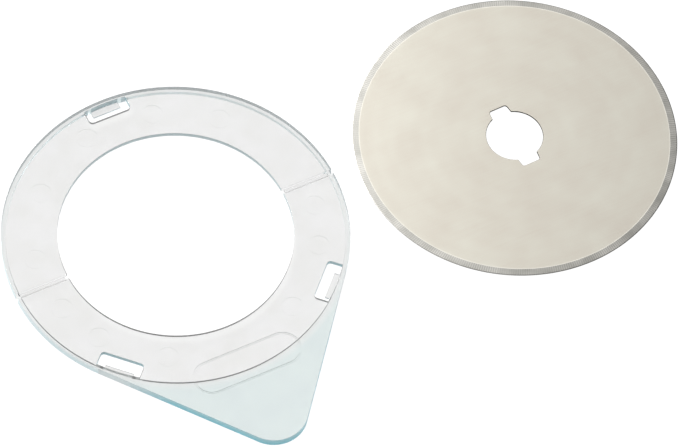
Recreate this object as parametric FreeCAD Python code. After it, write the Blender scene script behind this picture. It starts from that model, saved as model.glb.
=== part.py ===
import FreeCAD, Part
import math
import os

os.makedirs("parts", exist_ok=True)

# All lengths are in millimetres and all angles in degrees.
# The origin is the centre of the blade's hole, on the table. +Z is up.
# The fold line of the case runs along X, and its pull tab points towards -Y.

# blade
blade_radius = 30.0
blade_thickness = 0.3
edge_thickness = 0.04
bevel_width = 1.3
hole_radius = 5.25
notch_centre_half_width = 2.5
notch_tip_half_width = 1.75
notch_reach = 6.55
notch_corner = 0.4
notch_turn = 1.7

# blade case, measured from the centre of its ring
case_x = -65.9
case_y = 6.35
case_height = 1.7
plate_thickness = 0.9
ring_radius = 31.6
recess_radius = 30.8
case_hole_radius = 21.45
tab_tip_distance = 40.5
tab_tip_radius = 6.2

# the three windows in the plate, and the lip under each
catch_angles = (-135.0, -45.0, 90.0)
window_length = 8.2
window_inner_distance = 27.75
window_corner = 0.75
lip_length = 5.4
lip_inner_distance = 29.5
lip_thickness = 0.35

# the fold line across the ring, and the thin film that hinges it
fold_gap = 0.85
film_thickness = 0.25
film_setback = 0.5

overrun = 1.0
plate_bottom = case_height - plate_thickness


def disc(radius, bottom, height):
    return Part.makeCylinder(radius, height, FreeCAD.Vector(0, 0, bottom))


def block(x_low, x_high, y_low, y_high, bottom, height):
    corner = FreeCAD.Vector(x_low, y_low, bottom)
    return Part.makeBox(x_high - x_low, y_high - y_low, height, corner)


def turned(shape, angle):
    copy = shape.copy()
    copy.rotate(FreeCAD.Vector(0, 0, 0), FreeCAD.Vector(0, 0, 1), angle)
    return copy


# The full-height edges of a block on one side of x = split: side is 1 for above, -1 for below.
def upright_edges(shape, split, side):
    found = []
    for edge in shape.Edges:
        box = edge.BoundBox
        if box.ZLength > 0.9 * shape.BoundBox.ZLength and side * (box.XMin - split) > 0:
            found.append(edge)
    return found


# The blade: a flat disc ground to a thin edge from both sides. Each notch narrows outwards.
def make_blade():
    flat_radius = blade_radius - bevel_width
    half = (blade_thickness - edge_thickness) / 2
    profile = [
        (0, 0),
        (flat_radius, 0),
        (blade_radius, half),
        (blade_radius, half + edge_thickness),
        (flat_radius, blade_thickness),
        (0, blade_thickness),
        (0, 0),
    ]
    points = [FreeCAD.Vector(x, 0, z) for x, z in profile]
    face = Part.Face(Part.makePolygon(points))
    blade = face.revolve(FreeCAD.Vector(0, 0, 0), FreeCAD.Vector(0, 0, 1), 360)
    height = blade_thickness + 2 * overrun
    blade = blade.cut(disc(hole_radius, -overrun, height))
    outline = [
        FreeCAD.Vector(0, -notch_centre_half_width, -overrun),
        FreeCAD.Vector(notch_reach, -notch_tip_half_width, -overrun),
        FreeCAD.Vector(notch_reach, notch_tip_half_width, -overrun),
        FreeCAD.Vector(0, notch_centre_half_width, -overrun),
        FreeCAD.Vector(0, -notch_centre_half_width, -overrun),
    ]
    notch = Part.Face(Part.makePolygon(outline)).extrude(FreeCAD.Vector(0, 0, height))
    notch = notch.makeFillet(notch_corner, upright_edges(notch, notch_reach / 2, 1))
    for angle in (90 + notch_turn, 270 + notch_turn):
        blade = blade.cut(turned(notch, angle))
    return blade


# The outline of the case: the ring and the tab whose sides run tangent to it.
def make_outline(bottom, height):
    spread = math.acos((ring_radius - tab_tip_radius) / tab_tip_distance)
    side = math.sin(spread)
    front = math.cos(spread)
    points = [
        FreeCAD.Vector(-ring_radius * side, -ring_radius * front, bottom),
        FreeCAD.Vector(-tab_tip_radius * side, -tab_tip_distance - tab_tip_radius * front, bottom),
        FreeCAD.Vector(tab_tip_radius * side, -tab_tip_distance - tab_tip_radius * front, bottom),
        FreeCAD.Vector(ring_radius * side, -ring_radius * front, bottom),
        FreeCAD.Vector(-ring_radius * side, -ring_radius * front, bottom),
    ]
    wedge = Part.Face(Part.makePolygon(points)).extrude(FreeCAD.Vector(0, 0, height))
    tip = disc(tab_tip_radius, bottom, height)
    tip.translate(FreeCAD.Vector(0, -tab_tip_distance, 0))
    ring = disc(ring_radius, bottom, height)
    return ring.fuse(wedge).fuse(tip).removeSplitter()


# A window is cut through the plate only, so the lip under it stays whole.
def make_window():
    window = block(window_inner_distance, recess_radius + overrun, -window_length / 2,
                   window_length / 2, plate_bottom, plate_thickness + overrun)
    middle = (window_inner_distance + recess_radius) / 2
    window = window.makeFillet(window_corner, upright_edges(window, middle, -1))
    return window.common(disc(recess_radius, plate_bottom, plate_thickness + overrun))


def make_lip():
    lip = block(lip_inner_distance, ring_radius, -lip_length / 2, lip_length / 2,
                0, lip_thickness)
    return lip.common(disc((recess_radius + ring_radius) / 2, 0, lip_thickness))


def make_moulding():
    case = make_outline(0, case_height)
    case = case.cut(disc(case_hole_radius, -overrun, case_height + 2 * overrun))
    case = case.cut(disc(recess_radius, -overrun, plate_bottom + overrun))
    for angle in catch_angles:
        case = case.cut(turned(make_window(), angle))
        case = case.fuse(turned(make_lip(), angle))
    return case.removeSplitter()


# The moulding is divided at the fold line, with a slot as wide as the moulded groove.
def make_leaves(case):
    reach = ring_radius + tab_tip_distance
    height = case_height + 2 * overrun
    half = fold_gap / 2
    front = case.common(block(-reach, reach, -reach, -half, -overrun, height))
    rear = case.common(block(-reach, reach, half, reach, -overrun, height))
    return front, rear


def make_film(side):
    film = block(case_hole_radius + film_setback, recess_radius, -fold_gap / 2, fold_gap / 2,
                 plate_bottom, film_thickness)
    return film if side > 0 else turned(film, 180)


def export(shape, name):
    shape.exportStep("parts/" + name + ".step")
    print(name, round(shape.Volume, 2), "mm3", len(shape.Solids), "solid")


def in_place(shape):
    shape.translate(FreeCAD.Vector(case_x, case_y, 0))
    return shape


blade = make_blade()
front_leaf, rear_leaf = make_leaves(make_moulding())
export(blade, "blade")
export(in_place(front_leaf), "front_leaf")
export(in_place(rear_leaf), "rear_leaf")
export(in_place(make_film(-1)), "left_hinge_film")
export(in_place(make_film(1)), "right_hinge_film")
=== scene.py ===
# A 60 mm rotary cutter blade lying flat beside its clear folding blade case.
import bpy
import math
from mathutils import Matrix, Vector


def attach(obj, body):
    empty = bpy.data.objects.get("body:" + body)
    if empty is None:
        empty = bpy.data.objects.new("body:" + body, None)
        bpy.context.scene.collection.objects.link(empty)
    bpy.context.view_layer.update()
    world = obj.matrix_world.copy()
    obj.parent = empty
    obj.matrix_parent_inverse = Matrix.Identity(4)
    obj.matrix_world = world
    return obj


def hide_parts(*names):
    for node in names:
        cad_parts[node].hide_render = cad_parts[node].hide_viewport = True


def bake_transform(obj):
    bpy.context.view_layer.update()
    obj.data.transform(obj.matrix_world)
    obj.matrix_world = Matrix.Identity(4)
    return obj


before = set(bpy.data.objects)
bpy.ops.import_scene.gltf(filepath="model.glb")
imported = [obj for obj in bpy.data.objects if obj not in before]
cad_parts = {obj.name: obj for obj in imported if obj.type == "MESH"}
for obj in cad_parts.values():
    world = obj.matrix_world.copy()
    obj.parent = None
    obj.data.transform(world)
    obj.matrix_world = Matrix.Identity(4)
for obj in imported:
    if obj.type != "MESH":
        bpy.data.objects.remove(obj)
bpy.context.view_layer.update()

mm = 0.001


# small helpers

def srgb(hexText):
    def linear(value):
        return value / 12.92 if value <= 0.04045 else ((value + 0.055) / 1.055) ** 2.4
    return tuple(linear(int(hexText[i:i + 2], 16) / 255) for i in (0, 2, 4)) + (1.0,)


def pick(obj):
    if bpy.context.object and bpy.context.object.mode != "OBJECT":
        bpy.ops.object.mode_set(mode="OBJECT")
    bpy.ops.object.select_all(action="DESELECT")
    obj.select_set(True)
    bpy.context.view_layer.objects.active = obj


def placed(name):
    obj = bpy.context.object
    obj.name = name
    obj.data.name = name
    pick(obj)
    bpy.ops.object.transform_apply(location=True, rotation=True, scale=True)
    return obj


def addDisc(name, centre, radius, bottom, top, sides):
    bpy.ops.object.select_all(action="DESELECT")
    bpy.ops.mesh.primitive_cylinder_add(
        vertices=sides, radius=radius * mm, depth=(top - bottom) * mm,
        location=(centre[0] * mm, centre[1] * mm, (top + bottom) / 2 * mm))
    return placed(name)


def addBlock(name, low, high):
    bpy.ops.object.select_all(action="DESELECT")
    bpy.ops.mesh.primitive_cube_add(
        size=1, location=[(a + b) / 2 * mm for a, b in zip(low, high)],
        scale=[(b - a) * mm for a, b in zip(low, high)])
    return placed(name)


def joined(name, pieces):
    pick(pieces[0])
    for piece in pieces[1:]:
        piece.select_set(True)
    bpy.ops.object.join()
    return placed(name)


# wraps a skin round two discs, which gives a teardrop or a stadium
def hullOf(name, discs):
    obj = joined(name, discs)
    pick(obj)
    bpy.ops.object.mode_set(mode="EDIT")
    bpy.ops.mesh.select_all(action="SELECT")
    bpy.ops.mesh.convex_hull()
    bpy.ops.mesh.select_all(action="SELECT")
    bpy.ops.mesh.dissolve_limited(angle_limit=math.radians(0.2))
    bpy.ops.object.mode_set(mode="OBJECT")
    return obj


def turnAbout(obj, centre, degrees):
    place = Matrix.Translation(Vector((centre[0] * mm, centre[1] * mm, 0)))
    obj.data.transform(place @ Matrix.Rotation(math.radians(degrees), 4, "Z") @ place.inverted())
    return obj


def combine(obj, tool, operation):
    pick(obj)
    step = obj.modifiers.new(operation.lower(), "BOOLEAN")
    step.operation = operation
    step.solver = "EXACT"
    step.object = tool
    bpy.ops.object.modifier_apply(modifier=step.name)
    bpy.data.objects.remove(tool)
    return obj


def roundEdges(obj, width, segments, angle):
    pick(obj)
    step = obj.modifiers.new("round", "BEVEL")
    step.width = width * mm
    step.segments = segments
    step.limit_method = "ANGLE"
    step.angle_limit = math.radians(angle)
    step.use_clamp_overlap = True
    bpy.ops.object.modifier_apply(modifier=step.name)
    return obj


# flat faces stay flat and the small rounds between them turn the light softly
def finishSurface(obj, angle):
    pick(obj)
    bpy.ops.object.shade_smooth_by_angle(angle=math.radians(angle))
    step = obj.modifiers.new("weighted", "WEIGHTED_NORMAL")
    step.keep_sharp = True
    bpy.ops.object.modifier_apply(modifier=step.name)
    return obj


def addNode(material, kind, settings=None, links=None):
    node = material.node_tree.nodes.new(kind)
    for name, value in (settings or {}).items():
        if name in node.inputs and not hasattr(node, name):
            node.inputs[name].default_value = value
        else:
            setattr(node, name, value)
    for place, source in (links or {}).items():
        material.node_tree.links.new(source, node.inputs[place])
    return node


# camera

camera = {
    "aim": (-37.62, -3.46, 0.0),
    "distance": 955.8,
    "azimuth": -30.0,
    "elevation": 58.33,
    "roll": 4.39,
    "lens": 278.88,
}


def makeCamera():
    azimuth = math.radians(camera["azimuth"])
    elevation = math.radians(camera["elevation"])
    roll = math.radians(camera["roll"])
    right = Vector((math.cos(azimuth), math.sin(azimuth), 0))
    ahead = Vector((-math.sin(azimuth), math.cos(azimuth), 0))
    back = -ahead * math.cos(elevation) + Vector((0, 0, 1)) * math.sin(elevation)
    up = back.cross(right)
    turnedRight = right * math.cos(roll) + up * math.sin(roll)
    turnedUp = back.cross(turnedRight)
    data = bpy.data.cameras.new("camera")
    data.lens = camera["lens"]
    data.sensor_width = 36
    data.clip_start = 0.01
    data.clip_end = 20
    obj = bpy.data.objects.new("camera", data)
    bpy.context.scene.collection.objects.link(obj)
    frameAxes = Matrix((turnedRight, turnedUp, back)).transposed().to_4x4()
    spot = Vector(camera["aim"]) * mm + back * camera["distance"] * mm
    obj.matrix_world = Matrix.Translation(spot) @ frameAxes
    bpy.context.scene.camera = obj
    return right, ahead


# studio

studio = {
    "floorSize": 6000.0,
    "floorDrop": 0.02,
    "floorGlow": 1.0,
    "worldStrength": 1.02,
    "skyStart": 0.05,
    "skyFull": 0.65,
    "horizonLevel": 0.25,
    "sideStart": -0.22,
    "sideEnd": 0.05,
    "sideLevel": 0.36,
    "sideTurn": 0.6,
    "softboxSize": (340.0, 320.0),
    "softboxSpot": (-405.0, 400.0, 560.0),
    "softboxTarget": (-30.0, 0.0, 0.0),
    "softboxPower": 6.6,
}


def makeStudio(right, ahead):
    bpy.ops.object.select_all(action="DESELECT")
    bpy.ops.mesh.primitive_plane_add(size=studio["floorSize"] * mm,
                                     location=(0, 0, -studio["floorDrop"] * mm))
    floor = placed("studioFloor")
    paper = bpy.data.materials.new("whitePaper")
    paper.use_nodes = True
    shader = paper.node_tree.nodes["Principled BSDF"]
    shader.inputs["Base Color"].default_value = srgb("5a5a5a")
    shader.inputs["Roughness"].default_value = 0.9
    shader.inputs["Specular IOR Level"].default_value = 0.0
    shader.inputs["Emission Color"].default_value = (1, 1, 1, 1)  # lit from below, like a light table
    shader.inputs["Emission Strength"].default_value = studio["floorGlow"]
    floor.data.materials.append(paper)

    # a softbox at the back left makes the steel fall off from left to right
    data = bpy.data.lights.new("softbox", "AREA")
    data.shape = "RECTANGLE"
    data.size, data.size_y = (side * mm for side in studio["softboxSize"])
    data.energy = studio["softboxPower"]
    across, deep, height = studio["softboxSpot"]
    spot = (right * across + ahead * deep + Vector((0, 0, height))) * mm
    lamp = bpy.data.objects.new("softbox", data)
    bpy.context.scene.collection.objects.link(lamp)
    towards = Vector(studio["softboxTarget"]) * mm - spot
    lamp.matrix_world = Matrix.Translation(spot) @ towards.to_track_quat("-Z", "Y").to_matrix().to_4x4()

    # bright overhead, dark near the horizon and to the right
    world = bpy.data.worlds.new("studio")
    bpy.context.scene.world = world
    world.use_nodes = True
    background = world.node_tree.nodes["Background"]
    background.inputs["Strength"].default_value = studio["worldStrength"]
    way = addNode(world, "ShaderNodeTexCoord").outputs["Generated"]
    height = addNode(world, "ShaderNodeSeparateXYZ", {}, {"Vector": way}).outputs["Z"]
    overhead = addNode(world, "ShaderNodeMapRange", {
        "interpolation_type": "SMOOTHSTEP", "From Min": studio["skyStart"], "From Max": studio["skyFull"],
        "To Min": studio["horizonLevel"], "To Max": 1.0}, {"Value": height})
    side = addNode(world, "ShaderNodeVectorMath", {"operation": "DOT_PRODUCT"}, {"Vector": way})
    side.inputs[1].default_value = (right - ahead * studio["sideTurn"]).normalized()
    fall = addNode(world, "ShaderNodeMapRange", {
        "interpolation_type": "SMOOTHSTEP", "From Min": studio["sideStart"], "From Max": studio["sideEnd"],
        "To Min": 1.0, "To Max": studio["sideLevel"]}, {"Value": side.outputs["Value"]})
    level = addNode(world, "ShaderNodeMath", {"operation": "MULTIPLY"}, {"Value": overhead.outputs["Result"]})
    world.node_tree.links.new(fall.outputs["Result"], level.inputs[1])
    world.node_tree.links.new(level.outputs["Value"], background.inputs["Color"])
    bpy.context.scene.view_settings.view_transform = "Standard"


# where a point of the case is, flattened onto the table and measured from the centre of its ring
def ringRadius(material):
    spot = addNode(material, "ShaderNodeTexCoord").outputs["Object"]
    flat = addNode(material, "ShaderNodeMapping", {
        "Location": [-value * mm for value in case["centre"]] + [0], "Scale": (1, 1, 0)}, {"Vector": spot})
    radius = addNode(material, "ShaderNodeVectorMath", {"operation": "LENGTH"}, {"Vector": flat.outputs["Vector"]})
    return spot, radius.outputs["Value"]


def mixTones(material, factor, first, second):
    node = addNode(material, "ShaderNodeMix", {"data_type": "RGBA"})
    material.node_tree.links.new(factor, node.inputs[0])
    for socket, tone in zip(node.inputs[6:8], (first, second)):
        if isinstance(tone, str):
            socket.default_value = srgb(tone)
        else:
            material.node_tree.links.new(tone, socket)
    return node.outputs[2]


clear = {
    "thinTone": ("e8e8e8", "e5e5e4"),
    "thickTone": ("dbe4e3", "d8e1e1"),
    "flowSize": 5.0,
    "rippleSize": 9.0,
    "rippleDepth": 0.01,
    "roughness": (0.02, 0.06),
    "ior": 1.55,
}


# injection-moulded clear polystyrene from a polished mould: the thin plate is almost colourless,
# the thick rim and tab look aqua, and the melt's flow leaves very faint clouds and ripples
def clearPlastic():
    material = bpy.data.materials.new("clearAquaPolystyrene")
    material.use_nodes = True
    shader = material.node_tree.nodes["Principled BSDF"]
    shader.inputs["IOR"].default_value = clear["ior"]
    shader.inputs["Transmission Weight"].default_value = 1.0
    spot, radius = ringRadius(material)
    flow = addNode(material, "ShaderNodeTexNoise", {"Scale": 1 / (clear["flowSize"] * mm), "Detail": 3.0},
                   {"Vector": spot}).outputs["Fac"]
    cloud = addNode(material, "ShaderNodeMapRange", {"From Min": 0.35, "From Max": 0.65}, {"Value": flow})
    thick = addNode(material, "ShaderNodeMapRange", {
        "From Min": (case["recessRadius"] - 0.1) * mm, "From Max": (case["ringRadius"] + 0.9) * mm},
        {"Value": radius})
    thinTone = mixTones(material, cloud.outputs["Result"], *clear["thinTone"])
    thickTone = mixTones(material, cloud.outputs["Result"], *clear["thickTone"])
    tone = mixTones(material, thick.outputs["Result"], thinTone, thickTone)
    material.node_tree.links.new(tone, shader.inputs["Base Color"])
    haze = addNode(material, "ShaderNodeMapRange", {
        "To Min": clear["roughness"][0], "To Max": clear["roughness"][1]}, {"Value": flow})
    material.node_tree.links.new(haze.outputs["Result"], shader.inputs["Roughness"])
    ripple = addNode(material, "ShaderNodeTexNoise", {"Scale": 1 / (clear["rippleSize"] * mm), "Detail": 1.0},
                     {"Vector": spot})
    bump = addNode(material, "ShaderNodeBump", {"Distance": clear["rippleDepth"] * mm, "Strength": 1.0},
                   {"Height": ripple.outputs["Fac"]})
    material.node_tree.links.new(bump.outputs["Normal"], shader.inputs["Normal"])
    return material


# the upright walls of the moulding have a finer draw-polished grain, so they are less clear than the faces:
# from outside they take a painted lit tone, with a painted glow on some, and from inside a painted grey shade that
# draws them as grey lines
def wallPlastic(name, look):
    material = bpy.data.materials.new(name)
    material.use_nodes = True
    shader = material.node_tree.nodes["Principled BSDF"]
    shader.inputs["Roughness"].default_value = 0.3
    shader.inputs["IOR"].default_value = clear["ior"]
    spot, radius = ringRadius(material)
    back = addNode(material, "ShaderNodeNewGeometry").outputs["Backfacing"]
    streak = addNode(material, "ShaderNodeMapping", {"Scale": (1, 1, 3)}, {"Vector": spot})
    grain = addNode(material, "ShaderNodeTexNoise", {"Scale": 1 / (wallGrain * mm), "Detail": 3.0},
                    {"Vector": streak.outputs["Vector"]})
    # painted light: the upper half of a wall is painted lighter, as the highlight along its top, and the split
    # between the two wanders with the grain
    axes = addNode(material, "ShaderNodeSeparateXYZ", {}, {"Vector": spot})
    level = addNode(material, "ShaderNodeMath", {"operation": "MULTIPLY_ADD"},
                    {0: grain.outputs["Fac"], 2: axes.outputs["Z"]})
    level.inputs[1].default_value = -wallDrift * mm
    cloud = addNode(material, "ShaderNodeMapRange", {
        "From Min": 0.75 * case["height"] * mm, "From Max": 0.15 * case["height"] * mm},
        {"Value": level.outputs["Value"]})
    outside = mixTones(material, cloud.outputs["Result"], *look["outside"])
    if "near" in look:
        # the tab's side is pale where it starts at the thin rim and deepens along the thick tab
        along = addNode(material, "ShaderNodeMapRange", {
            "From Min": look["nearFrom"] * mm, "From Max": look["nearTo"] * mm}, {"Value": axes.outputs["Y"]})
        outside = mixTones(material, along.outputs["Result"], look["near"], outside)
    # painted light and shade: seen from outside a wall takes a painted lit tone, seen from inside through the
    # plate a darker painted shade
    tone = mixTones(material, back, outside, look["inside"])
    material.node_tree.links.new(tone, shader.inputs["Base Color"])
    clearness = addNode(material, "ShaderNodeMapRange", {"To Min": look["clear"][0], "To Max": look["clear"][1]},
                        {"Value": back})
    material.node_tree.links.new(clearness.outputs["Result"], shader.inputs["Transmission Weight"])
    shader.inputs["Alpha"].default_value = look.get("alpha", 1.0)
    # painted glow: the outside of these walls emits light in its own tone, though it is no lamp
    if "paintedGlow" in look:
        paintedGlowStrength = addNode(material, "ShaderNodeMapRange", {"To Min": look["paintedGlow"], "To Max": 0.0}, {"Value": back})
        material.node_tree.links.new(paintedGlowStrength.outputs["Result"], shader.inputs["Emission Strength"])
        material.node_tree.links.new(tone, shader.inputs["Emission Color"])
    return material


wallGrain = 1.5
wallDrift = 0.5

# outside tones are painted lit colour, with a painted glow on the rim and recess walls; inside tones are painted
# shade, darkest on the hole, recess and window walls
walls = {
    "tabWall": {"outside": ("a4d9e3", "80d4e4"), "near": "e2eef0", "nearFrom": -17.0, "nearTo": -25.0,
                "inside": "dce6e8", "clear": (0.2, 0.5)},
    "rimWall": {"outside": ("e2eef0", "d2e6ea"), "inside": "a0b6c0", "clear": (0.3, 0.4), "paintedGlow": 0.2},
    "holeWall": {"outside": ("c6d8db", "bacdd1"), "inside": "505050", "clear": (0.2, 0.1)},
    "recessWall": {"outside": ("eef6f6", "e6f0f0"), "inside": "383c3c", "clear": (0.5, 0.1), "paintedGlow": 0.3},
    "windowWall": {"outside": ("b6d6dc", "a4cad2"), "inside": "606464", "clear": (0.2, 0.1)},
    "windowRim": {"outside": ("e0ecee", "d0e0e4"), "inside": "909898", "clear": (0.4, 0.3)},
    "lipWall": {"outside": ("dce6e8", "d0dcde"), "inside": "c0caca", "clear": (0.4, 0.4)},
    "grooveWall": {"outside": ("fafcfc", "f6f8f8"), "inside": "f4f8f8", "clear": (0.2, 0.5), "alpha": 0.15},
    "markWall": {"outside": ("d8e0e0", "ccd6d6"), "inside": "a8b2b2", "clear": (0.4, 0.2)},
    "rimEnd": {"outside": ("9ab8c4", "7fa4b2"), "inside": "5f8f9c", "clear": (0.1, 0.1)},
}


# which wall a face of the case belongs to, from where it is
def wallOf(face):
    x = face.center.x / mm - case["centre"][0]
    y = face.center.y / mm - case["centre"][1]
    z = face.center.z / mm
    radius = math.hypot(x, y)
    underside = case["height"] - case["plate"]
    if abs(face.normal.z) > 0.3:
        return None
    if z > case["height"] - case["badgeDepth"]:
        return "markWall"
    if abs(y) < case["foldGap"] / 2 + 0.02 and abs(face.normal.y) > 0.7:
        return "rimEnd" if radius > case["recessRadius"] else "grooveWall"
    if radius < case["holeRadius"] + 0.3:
        return "holeWall"
    if radius > case["ringRadius"] + 0.05:
        return "tabWall"
    if radius > case["ringRadius"] - 0.1:
        return "rimWall"
    if z > underside:
        return "windowRim" if radius > case["recessRadius"] - 0.1 else "windowWall"
    if radius > case["recessRadius"] - 0.1:
        return "recessWall"
    return "lipWall"


# rolled stainless strip, tumbled to a satin: soft warm clouds, fine lines along the rolling direction
# and faint arcs left by the grinding wheel's guide
def satinSteel():
    material = bpy.data.materials.new("satinRolledSteel")
    material.use_nodes = True
    shader = material.node_tree.nodes["Principled BSDF"]
    shader.inputs["Metallic"].default_value = 1.0
    spot = addNode(material, "ShaderNodeTexCoord").outputs["Object"]
    cloud = addNode(material, "ShaderNodeTexNoise", {"Scale": 1 / (steel["cloudSize"] * mm), "Detail": 4.0},
                    {"Vector": spot})
    grainWay = addNode(material, "ShaderNodeMapping", {
        "Rotation": (0, 0, math.radians(steel["rollingAngle"])),
        "Scale": (1 / (steel["lineLength"] * mm), 1 / (steel["lineWidth"] * mm), 0)}, {"Vector": spot})
    lines = addNode(material, "ShaderNodeTexNoise", {"Scale": 1.0, "Detail": 2.0},
                    {"Vector": grainWay.outputs["Vector"]})
    arcs = addNode(material, "ShaderNodeTexWave", {
        "wave_type": "RINGS", "rings_direction": "Z", "Scale": 1 / (steel["arcSpacing"] * mm) / 3,
        "Distortion": 0.6, "Detail": 2.0, "Detail Scale": 40.0}, {"Vector": spot})
    mix = addNode(material, "ShaderNodeMath", {"operation": "MULTIPLY_ADD"}, {0: cloud.outputs["Fac"]})
    mix.inputs[1].default_value = steel["cloudShare"]
    fine = addNode(material, "ShaderNodeMath", {"operation": "MULTIPLY_ADD"}, {0: lines.outputs["Fac"]})
    fine.inputs[1].default_value = steel["lineShare"]
    faint = addNode(material, "ShaderNodeMath", {"operation": "MULTIPLY"}, {0: arcs.outputs["Fac"]})
    faint.inputs[1].default_value = steel["arcShare"]
    material.node_tree.links.new(faint.outputs["Value"], fine.inputs[2])
    material.node_tree.links.new(fine.outputs["Value"], mix.inputs[2])
    blend = addNode(material, "ShaderNodeMapRange", {"From Min": 0.25, "From Max": 0.75},
                    {"Value": mix.outputs["Value"]})
    tone = mixTones(material, blend.outputs["Result"], *steel["faceTone"])
    material.node_tree.links.new(tone, shader.inputs["Base Color"])
    rough = addNode(material, "ShaderNodeMapRange", {
        "From Min": 0.25, "From Max": 0.75, "To Min": steel["faceRoughness"][0],
        "To Max": steel["faceRoughness"][1]}, {"Value": mix.outputs["Value"]})
    material.node_tree.links.new(rough.outputs["Result"], shader.inputs["Roughness"])
    bump = addNode(material, "ShaderNodeBump", {"Distance": steel["lineDepth"] * mm, "Strength": 1.0},
                   {"Height": lines.outputs["Fac"]})
    material.node_tree.links.new(bump.outputs["Normal"], shader.inputs["Normal"])
    return material


# the edge is wheel-ground from the centre outwards, which leaves patches of short bright ticks across the
# bevel; they are drawn about twice as coarse as the grit, so that they show
def groundSteel():
    material = bpy.data.materials.new("wheelGroundSteel")
    material.use_nodes = True
    shader = material.node_tree.nodes["Principled BSDF"]
    shader.inputs["Metallic"].default_value = 1.0
    spot = addNode(material, "ShaderNodeTexCoord").outputs["Object"]
    axes = addNode(material, "ShaderNodeSeparateXYZ", {}, {"Vector": spot})
    turn = addNode(material, "ShaderNodeMath", {"operation": "ARCTAN2"},
                   {0: axes.outputs["Y"], 1: axes.outputs["X"]})
    uneven = addNode(material, "ShaderNodeTexNoise", {"Scale": 1 / (steel["cloudSize"] * mm), "Detail": 2.0},
                     {"Vector": spot})
    # the slant follows the wheel: the angle drifts a little with the distance from the centre
    radius = addNode(material, "ShaderNodeVectorMath", {"operation": "LENGTH"}, {"Vector": spot})
    slant = addNode(material, "ShaderNodeMath", {"operation": "MULTIPLY_ADD"}, {0: radius.outputs["Value"],
                                                                               2: turn.outputs["Value"]})
    slant.inputs[1].default_value = steel["tickSlant"]
    ticks = addNode(material, "ShaderNodeMath", {"operation": "MULTIPLY_ADD"},
                    {0: slant.outputs["Value"], 2: uneven.outputs["Fac"]})
    ticks.inputs[1].default_value = 2 * math.pi * blade["radius"] / steel["tickSpacing"]
    wave = addNode(material, "ShaderNodeMath", {"operation": "SINE"}, {0: ticks.outputs["Value"]})
    height = addNode(material, "ShaderNodeMapRange", {"From Min": -1.0, "From Max": 1.0},
                     {"Value": wave.outputs["Value"]})
    patch = addNode(material, "ShaderNodeTexNoise", {"Scale": 1 / (steel["patchSize"] * mm), "Detail": 3.0},
                    {"Vector": spot})
    level = addNode(material, "ShaderNodeMapRange", {"From Min": 0.35, "From Max": 0.65, "To Max": 0.3},
                    {"Value": patch.outputs["Fac"]})
    share = addNode(material, "ShaderNodeMapRange", {
        "From Min": 0.42, "From Max": 0.6, "To Min": steel["tickShare"][0], "To Max": steel["tickShare"][1]},
        {"Value": uneven.outputs["Fac"]})
    both = addNode(material, "ShaderNodeMath", {"operation": "MULTIPLY_ADD"}, {
        0: height.outputs["Result"], 1: share.outputs["Result"], 2: level.outputs["Result"]})
    tone = mixTones(material, both.outputs["Value"], *steel["bevelTone"])
    material.node_tree.links.new(tone, shader.inputs["Base Color"])
    rough = addNode(material, "ShaderNodeMapRange", {
        "To Min": steel["bevelRoughness"][0], "To Max": steel["bevelRoughness"][1]},
        {"Value": patch.outputs["Fac"]})
    material.node_tree.links.new(rough.outputs["Result"], shader.inputs["Roughness"])
    bump = addNode(material, "ShaderNodeBump", {"Distance": steel["tickDepth"] * mm, "Strength": 1.0},
                   {"Height": height.outputs["Result"]})
    material.node_tree.links.new(bump.outputs["Normal"], shader.inputs["Normal"])
    return material


# steel bands with painted light: a lighter band along the line where the bevel meets the face, a painted
# highlight, and the honed last step of the edge, painted darker as the shade along the edge
def paintedBandSteel(name, tones, roughness):
    material = bpy.data.materials.new(name)
    material.use_nodes = True
    shader = material.node_tree.nodes["Principled BSDF"]
    shader.inputs["Metallic"].default_value = 1.0
    spot = addNode(material, "ShaderNodeTexCoord").outputs["Object"]
    wear = addNode(material, "ShaderNodeTexNoise", {"Scale": 1 / (steel["patchSize"] * mm), "Detail": 3.0},
                   {"Vector": spot})
    tone = mixTones(material, wear.outputs["Fac"], *tones)
    material.node_tree.links.new(tone, shader.inputs["Base Color"])
    rough = addNode(material, "ShaderNodeMapRange", {
        "To Min": roughness[0], "To Max": roughness[1]},
        {"Value": wear.outputs["Fac"]})
    material.node_tree.links.new(rough.outputs["Result"], shader.inputs["Roughness"])
    return material


# the hole is punched, which leaves its wall dull; its near-black tone is painted shade, which draws the dark line
# along the hole's far edge
def punchedShadedSteel():
    material = bpy.data.materials.new("punchedShadedSteel")
    material.use_nodes = True
    shader = material.node_tree.nodes["Principled BSDF"]
    shader.inputs["Metallic"].default_value = 1.0
    shader.inputs["Roughness"].default_value = steel["punchedRoughness"]
    spot = addNode(material, "ShaderNodeTexCoord").outputs["Object"]
    tear = addNode(material, "ShaderNodeTexNoise", {"Scale": 1 / (steel["lineWidth"] * mm), "Detail": 2.0},
                   {"Vector": spot})
    tone = mixTones(material, tear.outputs["Fac"], *steel["punchedShadeTone"])
    material.node_tree.links.new(tone, shader.inputs["Base Color"])
    return material


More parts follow.
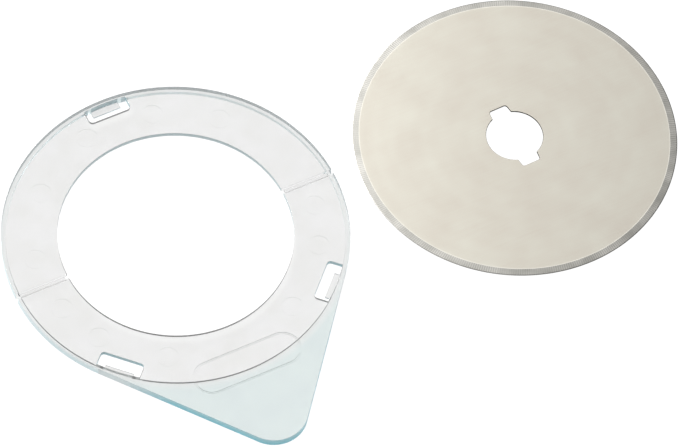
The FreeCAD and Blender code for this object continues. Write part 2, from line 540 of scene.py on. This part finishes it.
steel = {
    "faceTone": ("c2bbb0", "c6c4b9"),
    "faceRoughness": (0.33, 0.38),
    "cloudSize": 7.0,
    "cloudShare": 0.66,
    "lineLength": 12.0,
    "lineWidth": 0.35,
    "lineShare": 0.3,
    "lineDepth": 0.0015,
    "rollingAngle": 24.0,
    "arcSpacing": 3.2,
    "arcShare": 0.04,
    "bevelTone": ("8c8b86", "bdbbb6"),
    "bevelRoughness": (0.47, 0.6),
    "tickSpacing": 0.42,
    "tickSlant": 2.0,
    "tickShare": (0.15, 0.6),
    "tickDepth": 0.003,
    "patchSize": 4.0,
    # painted highlight: the lighter tone of the band where the bevel meets the face
    "highlightBandTone": ("c4c1b8", "d4d1c8"),
    "highlightBandRoughness": (0.4, 0.5),
    # painted shade: the honed last step of the edge is real, and its darker tone is painted as the shade line
    # along the edge
    "honedShadeTone": ("8b8985", "a09e9a"),
    "honedRoughness": (0.3, 0.42),
    # painted shade: the near-black tone of the punched hole wall
    "punchedShadeTone": ("1c1b1a", "302e2c"),
    "punchedRoughness": 0.6,
}


# the blade

blade = {
    "radius": 30.0,
    "flatRadius": 28.7,
    # painted highlight: width of the lighter band just inside the bevel
    "highlightBandWidth": 0.15,
    "honedRadius": 29.84,
    "honedThickness": 0.13,
    "thickness": 0.3,
    "edgeThickness": 0.04,
    "sides": 288,
    "holeRadius": 5.25,
    "notchBase": 2.0,
    "notchTip": 1.75,
    "notchReach": 6.55,
    "notchCorner": 0.4,
    "notchTurn": 1.7,
    "holeRound": 0.06,
}


def notchTool(angle):
    low = (0, -blade["notchBase"], -1)
    high = (blade["notchReach"], blade["notchBase"], 2)
    tool = addBlock("notch", low, high)
    taper = (blade["notchBase"] - blade["notchTip"]) * mm
    for vertex in tool.data.vertices:
        if vertex.co.x > 1 * mm:
            vertex.co.y -= math.copysign(taper, vertex.co.y)
        else:
            vertex.co.y += math.copysign(2 * taper, vertex.co.y)
    pick(tool)
    bpy.ops.object.mode_set(mode="EDIT")
    bpy.ops.mesh.select_all(action="DESELECT")
    bpy.ops.object.mode_set(mode="OBJECT")
    for edge in tool.data.edges:
        ends = [tool.data.vertices[i].co for i in edge.vertices]
        edge.select = min(end.x for end in ends) > 1 * mm and abs(ends[0].z - ends[1].z) > 1 * mm
    bpy.ops.object.mode_set(mode="EDIT")
    bpy.ops.mesh.select_mode(type="EDGE")
    bpy.ops.mesh.bevel(offset=blade["notchCorner"] * mm, segments=6, affect="EDGES")
    bpy.ops.object.mode_set(mode="OBJECT")
    return turnAbout(tool, (0, 0), angle + blade["notchTurn"])


# the outer wall is drawn out to the next radius and squeezed thin, on both faces at once
def drawOut(piece, startRadius, endRadius, squeeze):
    pick(piece)
    bpy.ops.object.mode_set(mode="EDIT")
    bpy.ops.mesh.select_mode(type="FACE")
    bpy.ops.mesh.select_all(action="DESELECT")
    bpy.ops.object.mode_set(mode="OBJECT")
    for face in piece.data.polygons:
        middle = face.center
        face.select = abs(face.normal.z) < 0.1 and math.hypot(middle.x, middle.y) > (startRadius - 0.1) * mm
    bpy.ops.object.mode_set(mode="EDIT")
    grow = endRadius / startRadius
    bpy.ops.mesh.extrude_region_move()
    bpy.ops.transform.resize(value=(grow, grow, squeeze), center_override=(0, 0, blade["thickness"] / 2 * mm))
    bpy.ops.object.mode_set(mode="OBJECT")


def makeBlade(face, highlightBand, ground, honedShaded, punchedShaded):
    start = blade["flatRadius"] - blade["highlightBandWidth"]
    piece = addDisc("rotaryBlade", (0, 0), start, 0, blade["thickness"], blade["sides"])
    combine(piece, addDisc("hole", (0, 0), blade["holeRadius"], -1, 2, 128), "DIFFERENCE")
    combine(piece, notchTool(90), "DIFFERENCE")
    combine(piece, notchTool(270), "DIFFERENCE")

    # the punched hole has a slightly rounded rim on both faces
    pick(piece)
    bpy.ops.object.mode_set(mode="EDIT")
    bpy.ops.mesh.select_mode(type="EDGE")
    bpy.ops.mesh.select_all(action="DESELECT")
    bpy.ops.object.mode_set(mode="OBJECT")
    for edge in piece.data.edges:
        ends = [piece.data.vertices[i].co for i in edge.vertices]
        edge.select = (max(math.hypot(end.x, end.y) for end in ends) < (blade["notchReach"] + 1) * mm
                       and abs(ends[0].z - ends[1].z) < 0.01 * mm)
    bpy.ops.object.mode_set(mode="EDIT")
    bpy.ops.mesh.bevel(offset=blade["holeRound"] * mm, segments=1, affect="EDGES")
    bpy.ops.object.mode_set(mode="OBJECT")

    drawOut(piece, start, blade["flatRadius"], 1)
    drawOut(piece, blade["flatRadius"], blade["honedRadius"], blade["honedThickness"] / blade["thickness"])
    drawOut(piece, blade["honedRadius"], blade["radius"], blade["edgeThickness"] / blade["honedThickness"])
    piece.data.materials.clear()
    for material in (face, highlightBand, ground, honedShaded, punchedShaded):
        piece.data.materials.append(material)
    # painted light by ring: the band inside the bevel takes a painted highlight, and the honed edge step and the
    # punched hole wall take painted shade
    for polygon in piece.data.polygons:
        distance = math.hypot(polygon.center.x, polygon.center.y) / mm
        if distance > blade["honedRadius"]:
            polygon.material_index = 3
        elif distance > blade["flatRadius"]:
            polygon.material_index = 2
        elif distance > start:
            polygon.material_index = 1
        elif abs(polygon.normal.z) < 0.9:
            polygon.material_index = 4
    finishSurface(piece, 4)
    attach(piece, "blade")
    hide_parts("blade")
    print("blade made", len(piece.data.polygons), "faces")


# the case

case = {
    "centre": (-65.9, 6.35),
    "height": 1.7,
    "plate": 0.9,
    "ringRadius": 31.6,
    "recessRadius": 30.8,
    "holeRadius": 21.45,
    "tipDistance": 40.5,
    "tipRadius": 6.2,
    "catchAngles": (-135.0, -45.0, 90.0),
    "windowLength": 8.2,
    "windowInner": 27.75,
    "windowCorner": 0.75,
    "lipLength": 5.4,
    "lipInner": 29.5,
    "lipThickness": 0.35,
    "lipLift": 0.03,
    "foldGap": 0.85,
    "filmThickness": 0.25,
    "filmSetback": 0.5,
    "edgeRound": 0.1,
    "ringSides": 288,
    "badgeHalfLength": 10.4,
    "badgeHalfWidth": 3.35,
    "badgeY": -29.85,
    "badgeLine": 0.3,
    "badgeDepth": 0.14,
    "pinDepth": 0.045,
    "pinRadius": 1.95,
    "pinDistance": 25.9,
    "pinAngles": (-61.4, -30.4, -11.5, 46.6, 74.2, 103.4, 136.0, 167.5, 192.8, 212.6, 241.6),
}


def windowTool(angle):
    x, y = case["centre"]
    half = case["windowLength"] / 2
    underside = case["height"] - case["plate"]
    tool = addBlock("window", (x + case["windowInner"], y - half, underside - 0.3),
                    (x + case["ringRadius"], y + half, case["height"] + 1))
    pick(tool)
    for edge in tool.data.edges:
        ends = [tool.data.vertices[i].co for i in edge.vertices]
        edge.select = (max(end.x for end in ends) < (x + case["windowInner"] + 0.1) * mm
                       and abs(ends[0].z - ends[1].z) > 1 * mm)
    bpy.ops.object.mode_set(mode="EDIT")
    bpy.ops.mesh.select_mode(type="EDGE")
    bpy.ops.mesh.select_all(action="DESELECT")
    bpy.ops.object.mode_set(mode="OBJECT")
    for edge in tool.data.edges:
        ends = [tool.data.vertices[i].co for i in edge.vertices]
        edge.select = (max(end.x for end in ends) < (x + case["windowInner"] + 0.1) * mm
                       and abs(ends[0].z - ends[1].z) > 1 * mm)
    bpy.ops.object.mode_set(mode="EDIT")
    bpy.ops.mesh.bevel(offset=case["windowCorner"] * mm, segments=6, affect="EDGES")
    bpy.ops.object.mode_set(mode="OBJECT")
    return turnAbout(tool, case["centre"], angle)


def mouldCase():
    centre = case["centre"]
    height = case["height"]
    underside = height - case["plate"]
    body = hullOf("case", [
        addDisc("ring", centre, case["ringRadius"], 0, height, case["ringSides"]),
        addDisc("tip", (centre[0], centre[1] - case["tipDistance"]), case["tipRadius"], 0, height, 96),
    ])
    combine(body, addDisc("hole", centre, case["holeRadius"], -1, height + 1, case["ringSides"]),
            "DIFFERENCE")

    # the recess and the windows are cut by one tool, so that their outer wall is one surface
    reach = case["ringRadius"] + 1
    inside = addBlock("inside", (centre[0] - reach, centre[1] - reach, -1),
                      (centre[0] + reach, centre[1] + reach, underside))
    for angle in case["catchAngles"]:
        combine(inside, windowTool(angle), "UNION")
    tool = addDisc("recess", centre, case["recessRadius"], -2, height + 2, case["ringSides"])
    combine(tool, inside, "INTERSECT")
    combine(body, tool, "DIFFERENCE")

    for angle in case["catchAngles"]:
        half = case["lipLength"] / 2
        lip = addBlock("lip", (centre[0] + case["lipInner"], centre[1] - half, case["lipLift"]),
                       (centre[0] + (case["recessRadius"] + case["ringRadius"]) / 2,
                        centre[1] + half, case["lipThickness"]))
        combine(body, turnAbout(lip, centre, angle), "UNION")
    return body


# shallow marks in the top face: a plain stadium line, and the circles left by the mould's ejector pins
def markTool(side):
    x, y = case["centre"]
    top = case["height"]
    tools = []
    for angle in case["pinAngles"]:
        offset = case["pinDistance"] * math.sin(math.radians(angle))
        if side * offset > 0:
            spot = (x + case["pinDistance"] * math.cos(math.radians(angle)), y + offset)
            tools.append(addDisc("pin", spot, case["pinRadius"], top - case["pinDepth"], top + 1, 48))
    if side < 0:
        outline = []
        for inset in (0, case["badgeLine"]):
            radius = case["badgeHalfWidth"] - inset
            reach = case["badgeHalfLength"] - case["badgeHalfWidth"]
            outline.append(hullOf("badge", [
                addDisc("end", (x + way * reach, y + case["badgeY"]), radius, top - case["badgeDepth"] - inset,
                        top + 1 + inset, 64)
                for way in (-1, 1)]))
        tools.append(combine(outline[0], outline[1], "DIFFERENCE"))
    return joined("marks", tools)


def makeLeaf(name, moulding, side, body, node, plastic):
    leaf = moulding.copy()
    leaf.data = moulding.data.copy()
    bpy.context.scene.collection.objects.link(leaf)
    leaf.name = name
    leaf.data.name = name
    pick(leaf)
    bpy.ops.object.mode_set(mode="EDIT")
    bpy.ops.mesh.select_all(action="SELECT")
    bpy.ops.mesh.bisect(
        plane_co=(0, (case["centre"][1] + side * case["foldGap"] / 2) * mm, 0),
        plane_no=(0, side, 0), use_fill=True, clear_inner=True)
    bpy.ops.object.mode_set(mode="OBJECT")
    roundEdges(leaf, case["edgeRound"], 2, 40)
    combine(leaf, markTool(side), "DIFFERENCE")
    leaf.data.materials.clear()
    for material in plastic.values():
        leaf.data.materials.append(material)
    slots = list(plastic)
    for face in leaf.data.polygons:
        face.material_index = slots.index(wallOf(face) or "clear")
    finishSurface(leaf, 35)
    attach(leaf, body)
    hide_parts(node)
    print(name, "made", len(leaf.data.polygons), "faces")
    return leaf


def makeFilm(name, side, node, plastic):
    x, y = case["centre"]
    inner = case["holeRadius"] + case["filmSetback"]
    outer = case["recessRadius"]
    underside = case["height"] - case["plate"]
    half = case["foldGap"] / 2 - 0.01
    spanX = sorted((x + side * inner, x + side * outer))
    film = addBlock(name, (spanX[0], y - half, underside),
                    (spanX[1], y + half, underside + case["filmThickness"]))
    pick(film)
    bpy.ops.object.mode_set(mode="EDIT")
    bpy.ops.mesh.select_all(action="SELECT")
    bpy.ops.mesh.subdivide(number_cuts=9)
    bpy.ops.object.mode_set(mode="OBJECT")
    film.data.materials.clear()
    film.data.materials.append(plastic["clear"])
    finishSurface(film, 35)
    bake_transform(film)
    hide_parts(node)


right, ahead = makeCamera()
makeStudio(right, ahead)
print("camera and studio made")
# the band steel paints a highlight inside the bevel and shade on the honed edge; the punched wall's dark tone is
# painted shade
makeBlade(satinSteel(), paintedBandSteel("paintedBandSteel", steel["highlightBandTone"], steel["highlightBandRoughness"]),
          groundSteel(), paintedBandSteel("honedSteelPaintedShade", steel["honedShadeTone"], steel["honedRoughness"]), punchedShadedSteel())
plastic = {"clear": clearPlastic()}
for wallName, look in walls.items():
    plastic[wallName] = wallPlastic(wallName, look)
moulding = mouldCase()
makeLeaf("caseFrontLeaf", moulding, -1, "case_front", "front_leaf", plastic)
makeLeaf("caseRearLeaf", moulding, 1, "case_rear", "rear_leaf", plastic)
bpy.data.objects.remove(moulding)
makeFilm("leftHingeFilm", -1, "left_hinge_film", plastic)
makeFilm("rightHingeFilm", 1, "right_hinge_film", plastic)
print("case made")
